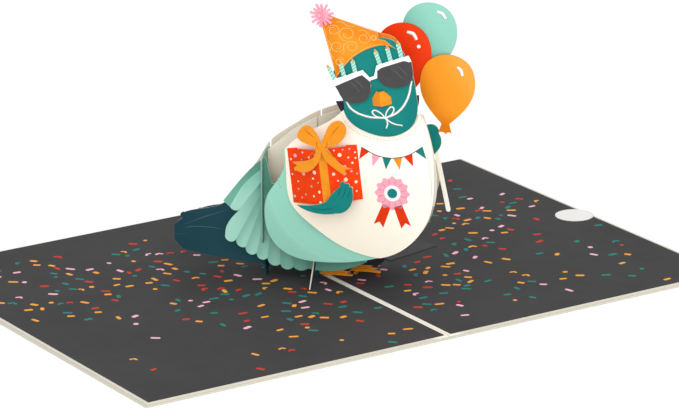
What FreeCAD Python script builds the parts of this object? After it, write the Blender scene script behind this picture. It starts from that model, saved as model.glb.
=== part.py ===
import FreeCAD, Part
import math
import os
import Sketcher

# A pop-up card lying open. The page lies flat with its fold along Y at x = 0, and a lattice of
# card slices stands across the fold at 45 degrees. The slices carry a party bird made of flat
# printed panels. Figure pieces are drawn in the figure's own frame: across (along the panels,
# to the viewer's right), depth (away from the viewer) and height above the table.

doc = FreeCAD.newDocument("PopUpCard")
sheet = doc.addObject("Spreadsheet::Sheet", "dims")

# name, value in mm (angles in degrees), meaning
SIZES = [
    ("page_width", 254.0, "open card, left edge to right edge"),
    ("page_depth", 177.8, "open card, along the fold"),
    ("cover_thick", 0.6, "outer cover board"),
    ("mount_thick", 0.4, "cream sheet glued inside the cover"),
    ("mount_inset", 1.0, "cover edge to mount sheet edge"),
    ("liner_thick", 0.3, "printed dark liner"),
    ("liner_inset", 2.2, "cover edge to liner edge"),
    ("fold_gap", 3.0, "bare strip between the liners at the fold"),
    ("crease_width", 0.8, "score line along the fold"),
    ("crease_deep", 0.2, "score line depth"),
    ("disc_radius", 7.5, "round paper closing seal"),
    ("disc_thick", 0.15, "closing seal paper"),
    ("pad_length", 25.0, "glued grey pad at the right of the figure"),
    ("pad_width", 12.4, "glued grey pad"),
    ("pad_reach", 53.0, "fold to the far end of the pad"),
    ("pad_turn", 11.7, "pad direction from the X axis"),
    ("figure_turn", 45.0, "panels turned clockwise from the X axis, seen from above"),
    ("card", 0.5, "figure card thickness"),
    ("slot_play", 0.1, "slot width beyond the card thickness"),
    ("body_depth", -20.0, "front face of the body panel"),
    ("wing_depth", -12.0, "front face of the wing panel"),
    ("side_depth", -11.5, "front face of the shirt's second layer"),
    ("front_profile_depth", -4.0, "front face of the near profile slice"),
    ("rear_profile_depth", 2.0, "front face of the far profile slice"),
    ("back_depth", 10.0, "front face of the plain back panel"),
    ("left_slice_at", -18.0, "left cross slice, place across"),
    ("middle_slice_at", 1.5, "middle cross slice, place across"),
    ("right_slice_at", 35.0, "right cross slice, place across"),
    ("left_slice_proud", 2.0, "left slice in front of the wing"),
    ("slice_lap", 26.0, "page to the middle of the slices' half-lap joints"),
    ("slice_foot", 5.0, "length of a slice's foot on the page"),
    ("arch_rise", 4.5, "height of the arches between the feet"),
    ("leg_forward", 2.8, "front leg's toe in front of the body panel"),
    ("leg_toe", 2.8, "front leg's toe length"),
    ("leg_height", 14.0, "top of the front leg"),
    ("leg_neck", 2.4, "front leg's width at its top"),
    ("body_left", -15.5, "left edge of the body panel"),
    ("body_bottom", 11.5, "lowest point of the body panel"),
    ("body_width", 64.0, "body panel"),
    ("body_height", 58.5, "body panel"),
    ("shirt_width", 56.0, "shirt panel"),
    ("shirt_height", 57.0, "shirt panel"),
    ("shirt_rise", 3.0, "shirt's lowest point above the body's"),
    ("side_width", 19.0, "shirt's second layer"),
    ("side_height", 35.0, "shirt's second layer"),
    ("head_width", 31.5, "head panel"),
    ("head_height", 37.5, "head panel"),
    ("head_across", 26.5, "left edge of the head from the body's"),
    ("collar_drop", 9.7, "shirt's shoulder points to the head's lowest point"),
    ("neck_width", 31.0, "dark neck piece behind the head"),
    ("neck_height", 15.0, "dark neck piece"),
    ("glasses_width", 32.0, "party glasses with their candles"),
    ("glasses_height", 24.6, "party glasses with their candles"),
    ("candle_width", 1.5, "candles on the glasses"),
    ("beak_width", 7.0, "beak"),
    ("beak_height", 5.5, "beak"),
    ("beak_proud", 2.5, "beak's ridge in front of the head"),
    ("hat_width", 27.9, "party hat"),
    ("hat_height", 23.5, "party hat"),
    ("hat_across", -4.0, "left corner of the hat from the head's left edge"),
    ("hat_rise", 21.7, "hat's lowest corner above the head's lowest point"),
    ("pompom_radius", 4.6, "hat's pompom"),
    ("pompom_core", 2.0, "radius of the pompom between its rays"),
    ("gift_left_width", 12.5, "gift, left face as seen"),
    ("gift_right_width", 14.0, "gift, right face as seen"),
    ("gift_height", 21.0, "gift"),
    ("gift_proud", 5.5, "gift's front edge in front of the shirt"),
    ("gift_flap", 4.0, "glue flaps behind the gift's faces"),
    ("gift_tilt", 6.2, "gift's lean to the left"),
    ("gift_across", 11.2, "gift's lower left corner from the body's left edge"),
    ("gift_rise", 22.8, "gift's lower left corner above the body's lowest point"),
    ("ribbon_width", 3.0, "ribbon round the gift"),
    ("ribbon_thick", 0.2, "ribbon round the gift"),
    ("bow_width", 22.5, "bow"),
    ("bow_height", 20.5, "bow"),
    ("hand_width", 21.0, "hand under the gift"),
    ("hand_height", 13.0, "hand under the gift"),
    ("wing_width", 54.7, "wing panel"),
    ("wing_height", 43.7, "wing panel"),
    ("wing_across", -17.8, "wing's left tip from the body's left edge"),
    ("rear_wing_inset", 7.0, "far side's wing from the near one's left edge"),
    ("wing_gap", 3.7, "wing's lowest point above the page"),
    ("profile_width", 97.5, "profile slices, tail tip to breast"),
    ("front_profile_height", 66.0, "near profile slice"),
    ("rear_profile_height", 67.0, "far profile slice"),
    ("tail_across", -38.8, "near tail tip from the body's left edge"),
    ("tail_step", 5.0, "near tail's tip beyond the far one"),
    ("back_width", 58.0, "plain back panel"),
    ("back_height", 49.0, "plain back panel"),
    ("back_rise", 5.0, "plain back panel above the page"),
    ("claw_width", 12.5, "bird's foot"),
    ("claw_height", 2.6, "bird's foot"),
    ("near_claw_at", 2.2, "near foot's heel, across"),
    ("far_claw_at", 11.5, "far foot's heel, across"),
    ("balloon_width", 20.5, "balloon"),
    ("balloon_height", 26.5, "balloon without its knot"),
    ("knot_height", 4.0, "balloon's knot"),
    ("knot_width", 5.0, "balloon's knot"),
    ("orange_at", 51.1, "orange balloon's middle, across"),
    ("orange_low", 65.0, "orange balloon's neck"),
    ("red_at", 37.1, "red balloon's middle, across"),
    ("red_low", 76.2, "red balloon's neck"),
    ("mint_at", 45.0, "mint balloon's middle, across"),
    ("mint_low", 84.0, "mint balloon's neck"),
    ("fist_width", 9.5, "hand that holds the balloons"),
    ("fist_height", 12.0, "hand that holds the balloons"),
    ("string_width", 1.6, "balloon string, a strip of card"),
    ("string_length", 31.0, "balloon string"),
    ("string_turn", 11.5, "balloon string's lean from upright"),
]
for row, (alias, value, meaning) in enumerate(SIZES, start=1):
    sheet.set(f"A{row}", meaning)
    sheet.set(f"B{row}", str(value))
    sheet.setAlias(f"B{row}", alias)
doc.recompute()


def size(alias):
    return float(sheet.get(alias))


CARD = size("card")
MOUNT_TOP = size("cover_thick") + size("mount_thick")
PAGE_TOP = MOUNT_TOP + size("liner_thick")
FIGURE_TURN = FreeCAD.Rotation(FreeCAD.Vector(0, 0, -1), size("figure_turn"))
PARTS = []


# Sketches, pads and pockets

def new_body(name):
    body = doc.addObject("PartDesign::Body", name)
    body.Label = name
    PARTS.append(body)
    return body


def new_sketch(body, role, name):
    sketch = body.newObject("Sketcher::SketchObject", name)
    plane = [item for item in body.Origin.OriginFeatures if item.Role == role][0]
    sketch.AttachmentSupport = [(plane, "")]
    sketch.MapMode = "FlatFace"
    return sketch


def draw(sketch, outline):
    # A closed outline: its first entry is the start, and each later entry is a point (straight
    # run), a pair of points (arc through the first) or a longer list (smooth curve through all).
    start = FreeCAD.Vector(*outline[0], 0)
    here = start
    for step in outline[1:] + [outline[0]]:
        stops = [step] if isinstance(step, tuple) else step
        stops = [FreeCAD.Vector(*stop, 0) for stop in stops]
        if (stops[-1] - here).Length < 1e-6:
            continue
        if len(stops) == 1:
            sketch.addGeometry(Part.LineSegment(here, stops[0]), False)
        elif len(stops) == 2:
            sketch.addGeometry(Part.Arc(here, stops[0], stops[1]), False)
        else:
            curve = Part.BSplineCurve()
            curve.interpolate([here] + stops)
            sketch.addGeometry(curve, False)
        here = stops[-1]


def draw_rectangle(sketch, left, low, wide, tall):
    # A rectangle whose four sizes are expressions on the sheet's cells.
    corner = [FreeCAD.Vector(x, y, 0) for x, y in ((0, 0), (1, 0), (1, 1), (0, 1))]
    first = sketch.GeometryCount
    for i in range(4):
        sketch.addGeometry(Part.LineSegment(corner[i], corner[(i + 1) % 4]), False)
    for i in range(4):
        sketch.addConstraint(Sketcher.Constraint("Coincident", first + i, 2, first + (i + 1) % 4, 1))
    for i, way in enumerate(("Horizontal", "Vertical", "Horizontal", "Vertical")):
        sketch.addConstraint(Sketcher.Constraint(way, first + i))
    rules = [("DistanceX", -1, 1, first, 1, left), ("DistanceY", -1, 1, first, 1, low),
             ("DistanceX", first, 1, first, 2, wide), ("DistanceY", first + 1, 1, first + 1, 2, tall)]
    for kind, a, a_end, b, b_end, rule in rules:
        number = sketch.addConstraint(Sketcher.Constraint(kind, a, a_end, b, b_end, 1.0))
        sketch.setExpression(f"Constraints[{number}]", rule)


def pad(body, sketch, thickness, backwards=False):
    feature = body.newObject("PartDesign::Pad", sketch.Name.replace("outline", "sheet"))
    feature.Profile = sketch
    feature.Reversed = backwards
    feature.setExpression("Length", thickness)
    sketch.Visibility = False
    return feature


def pocket(body, sketch, depth):
    # cuts the same depth on both sides of the sketch
    feature = body.newObject("PartDesign::Pocket", sketch.Name.replace("outline", "cut"))
    feature.Profile = sketch
    feature.Midplane = True
    feature.setExpression("Length", depth)
    return feature


def fit(outline, left, low, wide, tall):
    # Stretches a drawn outline to its named box.
    points = [p for step in outline for p in ([step] if isinstance(step, tuple) else step)]
    x0, x1 = min(p[0] for p in points), max(p[0] for p in points)
    y0, y1 = min(p[1] for p in points), max(p[1] for p in points)

    def place(p):
        return (left + wide * (p[0] - x0) / (x1 - x0), low + tall * (p[1] - y0) / (y1 - y0))

    return moved(outline, place)


def place_in_figure(item, depth):
    # Turns a piece with the figure and sets its front face at a depth, an expression.
    turn = "dims.figure_turn * 1 deg"
    item.Placement = FreeCAD.Placement(FreeCAD.Vector(), FIGURE_TURN)
    item.setExpression("Placement.Base.x", f"({depth}) * sin({turn})")
    item.setExpression("Placement.Base.y", f"({depth}) * cos({turn})")
    item.setExpression("Placement.Rotation.Angle", turn)


def panel(name, depth, outline, slots=(), thickness="dims.card"):
    # A flat die-cut panel facing the viewer. Each slot is (across, low, high) and runs
    # up from low to high, wide enough for a slice.
    body = new_body(name)
    sketch = new_sketch(body, "XZ_Plane", f"{name}_outline")
    draw(sketch, outline)
    pad(body, sketch, thickness, backwards=True)
    if slots:
        cuts = new_sketch(body, "XZ_Plane", f"{name}_slot_outline")
        for across, low, high in slots:
            draw_rectangle(cuts, f"dims.{across} - (dims.card + dims.slot_play) / 2", str(low),
                           "dims.card + dims.slot_play", str(high - low))
        doc.recompute()
        pocket(body, cuts, "4 * dims.card")
    place_in_figure(body, depth)
    return body


def cross_slice(name, across, outline, slots=()):
    # A slice at right angles to the panels, drawn in depth and height. Each slot is
    # (depth of a panel's front face, low, high).
    body = new_body(name)
    sketch = new_sketch(body, "YZ_Plane", f"{name}_outline")
    draw(sketch, outline)
    feature = pad(body, sketch, "dims.card")
    feature.Midplane = True
    if slots:
        cuts = new_sketch(body, "YZ_Plane", f"{name}_slot_outline")
        for depth, low, high in slots:
            draw_rectangle(cuts, f"dims.{depth} - dims.slot_play / 2", str(low),
                           "dims.card + dims.slot_play", str(high - low))
        doc.recompute()
        pocket(body, cuts, "4 * dims.card")
    turn = "dims.figure_turn * 1 deg"
    body.Placement = FreeCAD.Placement(FreeCAD.Vector(), FIGURE_TURN)
    body.setExpression("Placement.Base.x", f"({across}) * cos({turn})")
    body.setExpression("Placement.Base.y", f"-({across}) * sin({turn})")
    body.setExpression("Placement.Rotation.Angle", turn)
    return body


# The page

def page_sheet(name, left, inset, width, low, thickness):
    body = new_body(name)
    sketch = new_sketch(body, "XY_Plane", f"{name}_outline")
    draw_rectangle(sketch, left, f"{inset} - dims.page_depth / 2", width, f"dims.page_depth - 2 * {inset}")
    pad(body, sketch, thickness)
    body.setExpression("Placement.Base.z", low)
    return body


def make_page():
    page_sheet("cover", "-dims.page_width / 2", "0", "dims.page_width", "0", "dims.cover_thick")
    mount = page_sheet("mount_sheet", "dims.mount_inset - dims.page_width / 2", "dims.mount_inset",
                       "dims.page_width - 2 * dims.mount_inset", "dims.cover_thick", "dims.mount_thick")
    crease = new_sketch(mount, "XZ_Plane", "crease_outline")
    draw_rectangle(crease, "-dims.crease_width / 2", "dims.mount_thick - dims.crease_deep",
                   "dims.crease_width", "2 * dims.crease_deep")
    doc.recompute()
    pocket(mount, crease, "2 * dims.page_depth")
    liner_width = "(dims.page_width - dims.fold_gap) / 2 - dims.liner_inset"
    page_top = "dims.cover_thick + dims.mount_thick"
    page_sheet("liner_left", "dims.liner_inset - dims.page_width / 2", "dims.liner_inset",
               liner_width, page_top, "dims.liner_thick")
    page_sheet("liner_right", "dims.fold_gap / 2", "dims.liner_inset", liner_width, page_top,
               "dims.liner_thick")


def make_closing_disc():
    body = new_body("closing_disc")
    sketch = new_sketch(body, "XY_Plane", "closing_disc_outline")
    sketch.addGeometry(Part.Circle(FreeCAD.Vector(), FreeCAD.Vector(0, 0, 1), 5), False)
    sketch.addConstraint(Sketcher.Constraint("Coincident", 0, 3, -1, 1))
    number = sketch.addConstraint(Sketcher.Constraint("Radius", 0, 5.0))
    sketch.setExpression(f"Constraints[{number}]", "dims.disc_radius")
    pad(body, sketch, "dims.disc_thick")
    body.setExpression("Placement.Base.x", "dims.page_width / 2 - dims.disc_radius")
    body.setExpression("Placement.Base.z", "dims.cover_thick + dims.mount_thick + dims.liner_thick")


def make_anchor_pad():
    body = new_body("anchor_pad")
    sketch = new_sketch(body, "XY_Plane", "anchor_pad_outline")
    draw_rectangle(sketch, "dims.pad_reach - dims.pad_length", "-dims.pad_width / 2",
                   "dims.pad_length", "dims.pad_width")
    pad(body, sketch, "dims.liner_thick")
    body.Placement = FreeCAD.Placement(FreeCAD.Vector(), FreeCAD.Rotation(size("pad_turn"), 0, 0))
    body.setExpression("Placement.Rotation.Angle", "dims.pad_turn * 1 deg")
    body.setExpression("Placement.Base.y", "-dims.pad_width / 2")
    body.setExpression("Placement.Base.z", "dims.cover_thick + dims.mount_thick + dims.liner_thick")


# The bird's panels

BODY = (size("body_left"), size("body_bottom"), size("body_width"), size("body_height"))
HEAD = (BODY[0] + size("head_across"),
        BODY[1] + size("shirt_rise") + size("shirt_height") - size("collar_drop"),
        size("head_width"), size("head_height"))
WING = (BODY[0] + size("wing_across"), PAGE_TOP + size("wing_gap"),
        size("wing_width"), size("wing_height"))
BACK = (BODY[0] + 2 * CARD, PAGE_TOP + size("back_rise"), size("back_width"), size("back_height"))
GIFT_FRONT = "dims.body_depth - dims.gift_proud - dims.ribbon_thick - 2 * dims.card"


def moved(outline, place):
    # the same outline with each of its points placed anew
    return [place(step) if isinstance(step, tuple) else [place(p) for p in step] for step in outline]


def spun(across, height, angle):
    # a rule that turns a point about the origin and then moves it to a place
    turn = math.radians(angle)
    return lambda p: (across + p[0] * math.cos(turn) - p[1] * math.sin(turn),
                      height + p[0] * math.sin(turn) + p[1] * math.cos(turn))


def make_body():
    # Both sheets share the breast's edge on the right, and the shirt's hem sweeps down from the
    # left shoulder to a point at the bottom.
    outline = [(-8.5, 54), [(-10, 43), (-14.5, 36), (-15.5, 29.5), (-14, 21.5), (-10, 16), (-3, 12.5),
                            (8, 11.5), (18, 12.3), (28, 14.5)],
               [(38.5, 19.5), (43.5, 25), (47, 32), (48.5, 45), (48, 56), (44, 70)],
               (15, 70), [(8, 64.5), (0, 60), (-8.5, 54)]]
    panel("body_panel", "dims.body_depth", fit(outline, *BODY))
    shirt = [(-7.5, 54.5), [(-7, 44), (-5.5, 34.5), (3, 25.5), (12.5, 19), (20, 16), (28, 14.5)],
             [(38.5, 19.5), (43.5, 25), (47, 32), (48.5, 45), (47.5, 58), (43, 71.5)],
             [(41, 66.5), (36.5, 63.2), (30.5, 61.9), (23, 63.2), (18, 66), (14.8, 71)],
             [(8, 65.5), (0, 61), (-7.5, 54.5)]]
    right = BODY[0] + BODY[2]
    panel("shirt_panel", "dims.body_depth - dims.card",
          fit(shirt, right - size("shirt_width"), BODY[1] + size("shirt_rise"), size("shirt_width"),
              size("shirt_height")))


def make_shirt_side():
    wide, tall = size("side_width"), size("side_height")
    left = BODY[0] + BODY[2] - wide - CARD
    low = BODY[1] + BODY[3] - tall - 4 * CARD
    outline = [(29, 33), (47, 33), [(48, 41), (47.6, 48), (46, 57), (43, 68)], (29, 68)]
    middle = low + tall / 2
    panel("shirt_side", "dims.side_depth", fit(outline, left, low, wide, tall),
          [("right_slice_at", middle, low + tall + CARD)])
    return middle


def make_head():
    outline = [(11, 85), [(12.5, 79), (15, 74), (15.5, 70), (18, 66.3), (23.5, 63.2), (30.5, 61.8),
                          (37, 63.4), (41, 67), (42.6, 71.5), (42.2, 79), (41, 85.5), (38, 93), (34.5, 98)],
               [(30, 99.3), (23.5, 97.5), (16, 92.5), (11, 85)]]
    panel("head_panel", "dims.body_depth - 2 * dims.card", fit(outline, *HEAD))
    neck = [(12.5, 72), [(14, 69), (18, 64), (28, 61)], [(37, 64), (42, 69), (43.5, 76)]]
    left = HEAD[0] + (HEAD[2] - size("neck_width")) / 2 + CARD
    panel("neck_piece", "dims.body_depth + dims.card",
          fit(neck, left, HEAD[1] + 2 * CARD, size("neck_width"), size("neck_height")))


def candle(foot, tip):
    # two long sides and a flame's point, from a foot to a tip, drawn from left to right
    foot, tip = FreeCAD.Vector(*foot, 0), FreeCAD.Vector(*tip, 0)
    along = tip - foot
    side = FreeCAD.Vector(along.y, -along.x, 0).normalize() * (size("candle_width") / 2)
    neck = foot + along * 0.78
    return [(p.x, p.y) for p in (foot - side, neck - side, tip, neck + side, foot + side)]


def make_glasses():
    # The brow bar carries six candles and two wide lenses, one sheet in all.
    outline = [(11.0, 81.5)]
    for foot, tip in (((11.9, 83.0), (9.0, 88.5)), ((15.4, 84.3), (13.8, 90)), ((19.6, 86), (18.3, 91.2))):
        outline += candle(foot, tip)
    outline += [(22.3, 87), (24.9, 84.3), (26.6, 85), (27.5, 89)]
    for foot, tip in (((28.8, 89.5), (26.8, 95.2)), ((32.8, 91), (31.2, 96.8)), ((36.8, 92.4), (35.2, 98.8))):
        outline += candle(foot, tip)
    right_lens = [(41.0, 88), (40.6, 84.2), (38.8, 82.2), (34, 80.8), (30, 81.9), (28, 84.4)]
    left_lens = [(25.3, 79.5), (23.5, 75.7), (19, 74.2), (15.2, 75.2)]
    outline += [(39.3, 93.3), (40.4, 91.4), right_lens, (27.6, 84.2), (25.1, 83.2), left_lens, (12.4, 79.8)]
    left = HEAD[0] - HEAD[2] * 0.0635
    low = HEAD[1] + HEAD[3] * 0.33
    panel("candle_glasses", "dims.body_depth - 4 * dims.card",
          fit(outline, left, low, size("glasses_width"), size("glasses_height")))


def make_hat():
    rim = [(15, 87.3), (19, 91.7), (25, 95.3), (30, 96.6), (34.9, 95.3)]
    front = [(12.5, 83.5), rim, [(32.2, 97.2), (30.5, 98.5)], (28.1, 98.9), (28, 101.3), (11, 106.6),
             [(9.3, 107.0), (7.6, 106.0), (7, 104)]]
    left, low = HEAD[0] + size("hat_across"), HEAD[1] + size("hat_rise")
    box = (left, low, size("hat_width"), size("hat_height"))
    panel("hat_front", "dims.body_depth - 3 * dims.card", fit(front, *box))
    back = [(12.8, 84.5), (34.4, 95), [(35.4, 96.4), (35.0, 98.2), (33.4, 99.8), (30.9, 100.6), (28, 101.2)],
            (11, 106.2), [(9.3, 106.5), (8.1, 105.8), (7.5, 104)]]
    box = (left + CARD, low + 2 * CARD, size("hat_width"), size("hat_height") - 3 * CARD)
    panel("hat_back", "dims.body_depth - dims.card", fit(back, *box))
    return left, low


def burst(across, height, outer, inner, first, last, rays):
    # blunt rays on a core, long and short in turn, from the first angle to the last
    outline = []
    for i in range(rays):
        middle = first + (last - first) * (i + 0.5) / rays
        half = (last - first) / rays / 2
        end = outer * (1 - 0.14 * (i % 2))
        for reach, turn in ((inner, -half), (end, -half / 2.2), (end, half / 2.2)):
            angle = math.radians(middle + turn)
            outline.append((across + reach * math.cos(angle), height + reach * math.sin(angle)))
    return outline


def make_pompom(hat_left, hat_low):
    # a flat burst on the hat's tip, with half a burst standing on its middle
    radius, core = size("pompom_radius"), size("pompom_core")
    across, height = hat_left + core / 8, hat_low + size("hat_height") - core / 16
    panel("pompom_front", "dims.body_depth - 4 * dims.card", burst(across, height, radius, core, 0, 360, 14))
    face = size("body_depth") - 4 * CARD
    star = burst(face, height, radius, core, 90, 270, 6) + [(face, height + core)]
    cross_slice("pompom_cross", str(across), star)


def folded(name, depth, plan, tall, tilt, across, height):
    # A strip of card folded on upright lines: its plan, in across and depth, is padded upwards,
    # and the piece then leans in the plane of the panels.
    body = new_body(name)
    sketch = new_sketch(body, "XY_Plane", f"{name}_outline")
    draw(sketch, plan)
    pad(body, sketch, tall)
    lean = FreeCAD.Rotation(FreeCAD.Vector(0, -1, 0), tilt)
    base = FIGURE_TURN.multVec(FreeCAD.Vector(across, depth, height))
    body.Placement = FreeCAD.Placement(base, FIGURE_TURN.multiply(lean))
    return body


def make_beak():
    # folded down its middle, so that its ridge stands off the head, with pointed top corners
    wide, tall, proud = size("beak_width"), size("beak_height"), size("beak_proud")
    plan = [(0, 0), (wide / 2, -proud), (wide, 0), (wide - 2 * CARD, 0), (wide / 2, CARD - proud),
            (2 * CARD, 0)]
    across = HEAD[0] + HEAD[2] * 0.48
    height = HEAD[1] + HEAD[3] * 0.31
    body = folded("beak", size("body_depth") - 2 * CARD, plan, "dims.beak_height", 8, across, height)
    corners = new_sketch(body, "XZ_Plane", "beak_corner_outline")
    for side in (-1, 1):
        edge = wide / 2 + side * wide / 2
        inner = wide / 2 + side * wide / 5
        outer = edge + side * CARD
        draw(corners, [(outer, tall / 2), (edge, tall / 2), (inner, tall), (inner, tall + CARD),
                       (outer, tall + CARD)])
    doc.recompute()
    pocket(body, corners, "8 * dims.beak_proud")


def gift_place(across, height):
    # a point of the leaning gift, in the figure's frame
    tilt = math.radians(size("gift_tilt"))
    return (BODY[0] + size("gift_across") + across * math.cos(tilt) - height * math.sin(tilt),
            BODY[1] + size("gift_rise") + across * math.sin(tilt) + height * math.cos(tilt))


def make_gift():
    # Two faces meet at a front edge, and flaps behind them lie on the shirt.
    left, right, proud = size("gift_left_width"), size("gift_right_width"), size("gift_proud")
    flap = size("gift_flap")
    wide = left + right
    plan = [(0, 0), (left, -proud), (wide, 0), (wide - flap, 0), (wide - flap, -CARD),
            (wide - 3 * CARD, -CARD), (left, CARD * 1.1 - proud), (3 * CARD, -CARD), (flap, -CARD), (flap, 0)]
    shirt_face = size("body_depth") - CARD
    across, height = gift_place(0, 0)
    folded("gift_box", shirt_face, plan, "dims.gift_height", size("gift_tilt"), across, height)
    # the ribbon lies on the right face beside the front edge
    slope = math.atan2(proud, right)
    run, skin = size("ribbon_width"), size("ribbon_thick")
    along = FreeCAD.Vector(math.cos(slope), math.sin(slope), 0)
    out = FreeCAD.Vector(math.sin(slope), -math.cos(slope), 0)
    start = FreeCAD.Vector(left, -proud, 0) + along * (CARD / 2)
    corners = [start, start + along * run, start + along * run + out * skin, start + out * skin]
    folded("gift_ribbon", shirt_face, [(p.x, p.y) for p in corners], "dims.gift_height", size("gift_tilt"),
           across, height)


def make_bow():
    # two loops, a knot on the gift's front edge and two tails, cut as one piece
    left_loop = [(2.5, 61.2), (-0.5, 63.6), (0.4, 66.4), (3.2, 68.3), (5.6, 66.8), (8.2, 61.4)]
    right_loop = [(10.2, 66.0), (13.2, 70.2), (16.2, 70.3), (17.9, 67.6), (17.2, 64.4), (10.0, 60.4)]
    right_tail = [[(13, 56.5), (16.6, 53.2), (20.2, 52.3)], (17.6, 51.8), (17.2, 49.4),
                  [(12.6, 52.6), (10.4, 54.6), (8.6, 58.4)]]
    left_tail = [[(6.6, 52.8), (3.6, 50.2), (-2.0, 51.2)], (-0.6, 52.4), (-2.4, 53.6),
                 [(2.0, 54.2), (5.0, 55.4), (6.0, 60.0)]]
    outline = [(6.0, 60.0), left_loop, right_loop] + right_tail + left_tail
    knot_across, knot_height = gift_place(size("gift_left_width"), size("gift_height"))
    left = knot_across - size("bow_width") * 0.40
    low = knot_height - size("bow_height") * 0.43
    panel("gift_bow", GIFT_FRONT, fit(outline, left, low, size("bow_width"), size("bow_height")))


def make_gift_hand():
    # a feathered hand that cups the gift's lower edge, with three fingers on its right face
    palm = [[(3, 33.2), (8, 32.4), (13, 33)], [(17.5, 35), (19.2, 38.5), (19.2, 42.8)]]
    fingers = [[(18.6, 44.2), (17.6, 43.6)], [(17.2, 45.6), (16.2, 44.4)], [(15.6, 46.2), (14.9, 44.4)]]
    outline = [(-1.8, 35.6)] + palm + fingers + [[(13.8, 43.4), (11.8, 41.2), (9.4, 37.6)],
                                                 [(5.5, 36.1), (2, 35.6), (-1.8, 35.6)]]
    across, height = gift_place(size("gift_left_width"), 0)
    left = across - size("hand_width") * 0.47
    low = height - size("hand_height") * 0.25
    panel("gift_hand", GIFT_FRONT, fit(outline, left, low, size("hand_width"), size("hand_height")))


# Balloons, their string and the hand that holds them

def make_balloon(name, middle, low, depth, lean):
    # an egg shape that narrows to a neck, with a small flared knot below it
    wide, tall = size("balloon_width"), size("balloon_height")
    knot, flare = size("knot_height"), size("knot_width")
    side = [(0.07, 0.0), (0.22, 0.12), (0.42, 0.33), (0.5, 0.6), (0.37, 0.88)]
    left_side = [(-x * wide, z * tall) for x, z in side]
    right_side = [(x * wide, z * tall) for x, z in reversed(side)]
    skirt = [(flare / 2, 0.3 - knot), [(flare / 5, -0.8 * knot), (flare / 10, -knot)],
             [(-flare / 8, -0.8 * knot), (-flare / 2, 0.3 - knot)]]
    outline = [left_side[0], left_side[1:] + [(0, tall)] + right_side] + skirt
    panel(name, depth, moved(outline, spun(middle, low, lean)))


def make_balloons():
    orange = (size("orange_at"), size("orange_low"))
    make_balloon("balloon_orange", *orange, "dims.side_depth", -3)
    make_balloon("balloon_red", size("red_at"), size("red_low"), "dims.side_depth + dims.card", 6)
    make_balloon("balloon_mint", size("mint_at"), size("mint_low"), "dims.side_depth + 2 * dims.card", 0)
    wide, tall = size("fist_width"), size("fist_height")
    left = orange[0] - wide - 1.6
    low = orange[1] - tall - size("knot_height") / 2 + 3 * CARD
    outline = [(40, 55), (40, 63.5), (46, 64.5), [(48.6, 63.4), (49.2, 61.0)], [(50.2, 57.2), (49.2, 54.8)],
               (47, 52.3)]
    panel("balloon_hand", "dims.side_depth + dims.card", fit(outline, left, low, wide, tall))
    half, long = size("string_width") / 2, size("string_length")
    outline = [(-half, 0), (-half, -long), [(0, -long - half), (half, -long)], (half, 0)]
    top = spun(left + 0.62 * wide, low + 0.8 * tall, size("string_turn"))
    panel("balloon_string", "dims.side_depth + 2 * dims.card", moved(outline, top))


# Wing, profile slices and back

def make_wing():
    # Three long feathers point back and down, and the panel's lower edge is a row of scallops.
    feathers = [(-16.8, 48.7), [(-25, 41), (-29.5, 35.5), (-33.3, 30.6)], (-30.6, 28.3),
                [(-28.8, 27.0), (-26.4, 27.9)], [(-30.2, 23.8), (-31.9, 21.0), (-32.6, 17.6)]]
    scallops = [[(-31.3, 14.8), (-28.2, 16.2)], [(-27.2, 13.0), (-24.8, 12.9)],
                [(-23.8, 10.4), (-20.6, 10.8)], [(-19.2, 8.4), (-16.4, 9.2)], [(-15.2, 6.7), (-11.6, 7.0)],
                [(-10.2, 5.3), (-6.6, 6.2)], [(-4.6, 5.0), (-1, 5.9)]]
    root = [[(6, 5.3), (14, 6.6), (21.4, 9.8)], [(18, 25), (8, 34), (-6, 37)], (-14.5, 38.5)]
    outline = feathers + scallops + root
    left, low, wide, tall = WING
    top = low + tall + CARD
    panel("wing_panel", "dims.wing_depth", fit(outline, *WING),
          [("left_slice_at", wing_lap(0.5), top), ("middle_slice_at", wing_lap(0.42), top)])
    # a smaller wing of the same cut lies on the bird's far side, on the plain back panel
    inset = size("rear_wing_inset")
    panel("rear_wing_panel", "dims.back_depth + dims.card",
          fit(outline, left + inset, low - CARD, wide - 2 * inset, tall - 1.5 * inset))


def wing_lap(share):
    # height of the half-lap joint between the wing and a slice
    return WING[1] + WING[3] * share


def make_profile(name, short, heel):
    # A slice that runs from the tail's feathers to the breast, and stands on the page at one foot.
    # The one with the short tail is higher above the wing.
    wide, tall, page = size("profile_width"), size(f"{name}_height"), PAGE_TOP
    foot, rise = size("slice_foot"), size("arch_rise")
    start = BODY[0] + size("tail_across")
    tip = start + short
    end = start + wide
    tail = [(tip, page + 10.2), (tip, page + 16.2), [(tip + 1.2, page + 17.4), (tip + 3.4, page + 18.8)],
            [(tip + 2.4, page + 20), (tip + 4, page + 21.2)],
            [(tip + 8.5, page + 22.6), (tip + 16, page + 24.3), (tip + 19.6, page + 26)]]
    lift = short * 0.4
    crown = [(start + 25, page + 31.5), (start + 32.5, page + 41.5 + lift), (start + 35.4, page + 46.6 + lift),
             (start + 39.8, page + 50.6 + lift), (start + 45.6, page + 55.6 + lift / 2),
             (start + 54.5, page + tall - 5),
             (start + 62, page + tall - 2), (start + 75, page + tall), (end - 12, page + tall - 8),
             (end - 1, page + 44), (end, page + 30), (end - 6, page + 14), (end - 16, page + 9)]
    toe = size(heel) + size("claw_width") / 2 + foot / 2
    drop = short / 2
    under = [(toe + foot, page + rise), (toe, page), (toe - foot, page), (toe - 2 * foot, page + rise),
             (start + 35, page + 2.4 + drop), (start + 14 + drop, page + 4.7 + drop), (tip + 3.3, page + 6.6)]
    joints = [(f"{side}_slice_at", page + size("slice_lap"), page + tall + CARD)
              for side in ("left", "middle", "right")]
    panel(name, f"dims.{name}_depth", tail + [crown] + under, joints)


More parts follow.
